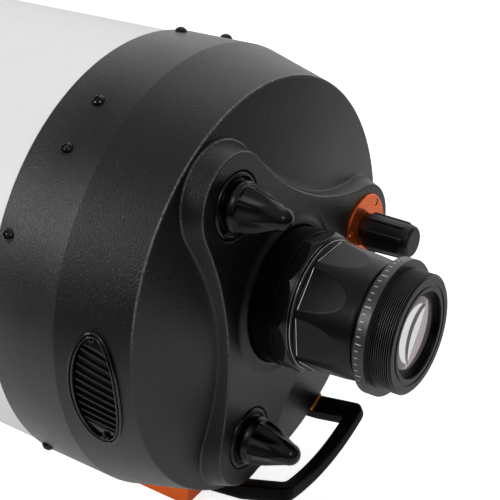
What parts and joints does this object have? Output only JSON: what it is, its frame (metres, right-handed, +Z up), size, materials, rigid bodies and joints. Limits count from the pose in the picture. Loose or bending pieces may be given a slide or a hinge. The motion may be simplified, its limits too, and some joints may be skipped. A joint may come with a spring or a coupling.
{
  "type": "schmidt cassegrain telescope",
  "caption": "Closed-tube mirror telescope on a dovetail plate, with sliding-mirror focusing, mirror clutches and a screw-on focal reducer at the back.",
  "frame": {"origin": "middle of the dovetail plate's underside", "axes": "+Y along the optical axis towards the sky, +Z up from the dovetail plate, +X to the right of someone who stands behind the telescope"},
  "size_m": [0.331, 0.6988, 0.3602],
  "materials": {
    "white_paint": "smooth white paint",
    "black_casting": "fine textured black paint",
    "black_screws": "black oxide",
    "steel": "bare steel",
    "glass": "coated optical glass",
    "mirror": "aluminised front surface",
    "black_plastic": "matt black",
    "knob_plastic": "glossy black",
    "orange_anodised": "orange anodised",
    "bare_aluminium": "turned",
    "brass": "turned",
    "black_anodised": "satin black anodised",
    "mesh": "woven mesh",
    "rubber": "matt black rubber"
  },
  "bodies": {
    "ota": {"optical_tube": "white_paint", "rear_cell": "black_casting", "tube_screws": "black_screws", "accessory_screws": "black_screws", "front_cell": "black_casting", "front_cell_screws": "black_screws", "corrector_retainer": "black_casting", "corrector_screws": "black_screws", "corrector_plate": "glass", "secondary_holder": "black_plastic", "secondary_baffle": "black_plastic", "secondary_cell": "black_casting", "dovetail_plate": "orange_anodised", "dovetail_rear_block": "black_casting", "dovetail_front_block": "black_casting", "dovetail_screws": "steel", "carry_handle": "black_casting", "handle_spacers": "orange_anodised", "handle_screws": "black_screws", "vent_grille_left": "black_plastic", "vent_grille_right": "black_plastic", "vent_meshes": "mesh", "vent_screws": "black_screws", "baffle_tube": "black_casting", "rear_hub": "black_anodised", "field_lens_cell": "black_anodised", "field_lens_front": "glass", "field_lens_rear": "glass", "focus_bearing": "brass", "focus_plate": "orange_anodised", "focus_plate_screws": "steel", "clutch_bush_upper": "brass", "clutch_bush_lower": "brass"},
    "mirror_carriage": {"primary_mirror": "mirror", "mirror_slider": "bare_aluminium", "mirror_clamp_ring": "bare_aluminium", "carrier_plate": "bare_aluminium", "focus_nut": "brass", "clutch_rod_upper": "steel", "clutch_rod_lower": "steel"},
    "focus_drive": {"focus_screw": "steel", "focus_knob_core": "bare_aluminium", "focus_knob_grip": "rubber"},
    "clutch_upper": {"clutch_knob_upper": "knob_plastic"},
    "clutch_lower": {"clutch_knob_lower": "knob_plastic"},
    "clutch_clamp_upper": {"clutch_nut_upper": "brass"},
    "clutch_clamp_lower": {"clutch_nut_lower": "brass"},
    "lock_ring": {"reducer_lock_ring": "black_anodised"},
    "reducer": {"reducer_body": "black_anodised", "reducer_index_ring": "black_anodised", "reducer_nose": "black_anodised", "reducer_lens_front": "glass", "reducer_lens_rear": "glass", "reducer_lens_ring": "black_anodised"},
    "secondary_tilt": {"secondary_tilt_plate": "bare_aluminium", "secondary_mirror": "mirror"},
    "collimation_top": {"collimation_screw_top": "steel"},
    "collimation_left": {"collimation_screw_left": "steel"},
    "collimation_right": {"collimation_screw_right": "steel"},
    "secondary_ring": {"secondary_lock_ring": "black_plastic"}
  },
  "joints": [
    {"name": "mirror_slide", "type": "slide", "parent": "ota", "child": "mirror_carriage", "axis": [0, 1, 0], "range_m": [-0.01, 0.01]},
    {"name": "focus_turn", "type": "hinge", "parent": "ota", "child": "focus_drive", "pos_m": [0.108, -0.35, 0.1915], "axis": [0, 1, 0], "range_deg": [-4810, 4810]},
    {"name": "clutch_upper_turn", "type": "hinge", "parent": "ota", "child": "clutch_upper", "pos_m": [-0.05375, -0.35, 0.2846], "axis": [0, 1, 0], "range_deg": [0, 720]},
    {"name": "clutch_upper_clamp", "type": "slide", "parent": "ota", "child": "clutch_clamp_upper", "axis": [0, 1, 0], "range_m": [0, 0.0015]},
    {"name": "clutch_lower_turn", "type": "hinge", "parent": "ota", "child": "clutch_lower", "pos_m": [-0.05375, -0.35, 0.0984], "axis": [0, 1, 0], "range_deg": [0, 720]},
    {"name": "clutch_lower_clamp", "type": "slide", "parent": "ota", "child": "clutch_clamp_lower", "axis": [0, 1, 0], "range_m": [0, 0.0015]},
    {"name": "lock_ring_turn", "type": "hinge", "parent": "ota", "child": "lock_ring", "pos_m": [0, -0.35, 0.1915], "axis": [0, 1, 0], "range_deg": [-360, 0]},
    {"name": "reducer_turn", "type": "hinge", "parent": "ota", "child": "reducer", "pos_m": [0, -0.38, 0.1915], "axis": [0, 1, 0], "range_deg": [-180, 180]},
    {"name": "secondary_tilt_hinge", "type": "hinge", "parent": "ota", "child": "secondary_tilt", "pos_m": [0, 0.222, 0.1915], "axis": [1, 0, 0], "range_deg": [-0.5, 0.5]},
    {"name": "collimation_top_turn", "type": "hinge", "parent": "ota", "child": "collimation_top", "pos_m": [0, 0.23, 0.2135], "axis": [0, 1, 0], "range_deg": [-99, 99]},
    {"name": "collimation_left_turn", "type": "hinge", "parent": "ota", "child": "collimation_left", "pos_m": [-0.01905, 0.23, 0.1805], "axis": [0, 1, 0], "range_deg": [-50, 50]},
    {"name": "collimation_right_turn", "type": "hinge", "parent": "ota", "child": "collimation_right", "pos_m": [0.01905, 0.23, 0.1805], "axis": [0, 1, 0], "range_deg": [-50, 50]},
    {"name": "secondary_ring_turn", "type": "hinge", "parent": "ota", "child": "secondary_ring", "pos_m": [0, 0.25, 0.1915], "axis": [0, 1, 0], "range_deg": [-360, 0]}
  ],
  "couplings": [
    {"joint": "focus_turn", "follows": "mirror_slide", "rad_per_m": -8377.6},
    {"joint": "clutch_upper_clamp", "follows": "clutch_upper_turn", "m_per_rad": 0.00011937},
    {"joint": "clutch_lower_clamp", "follows": "clutch_lower_turn", "m_per_rad": 0.00011937},
    {"joint": "collimation_top_turn", "follows": "secondary_tilt_hinge", "ratio": 197.47},
    {"joint": "collimation_left_turn", "follows": "secondary_tilt_hinge", "ratio": -98.74},
    {"joint": "collimation_right_turn", "follows": "secondary_tilt_hinge", "ratio": -98.74}
  ]
}
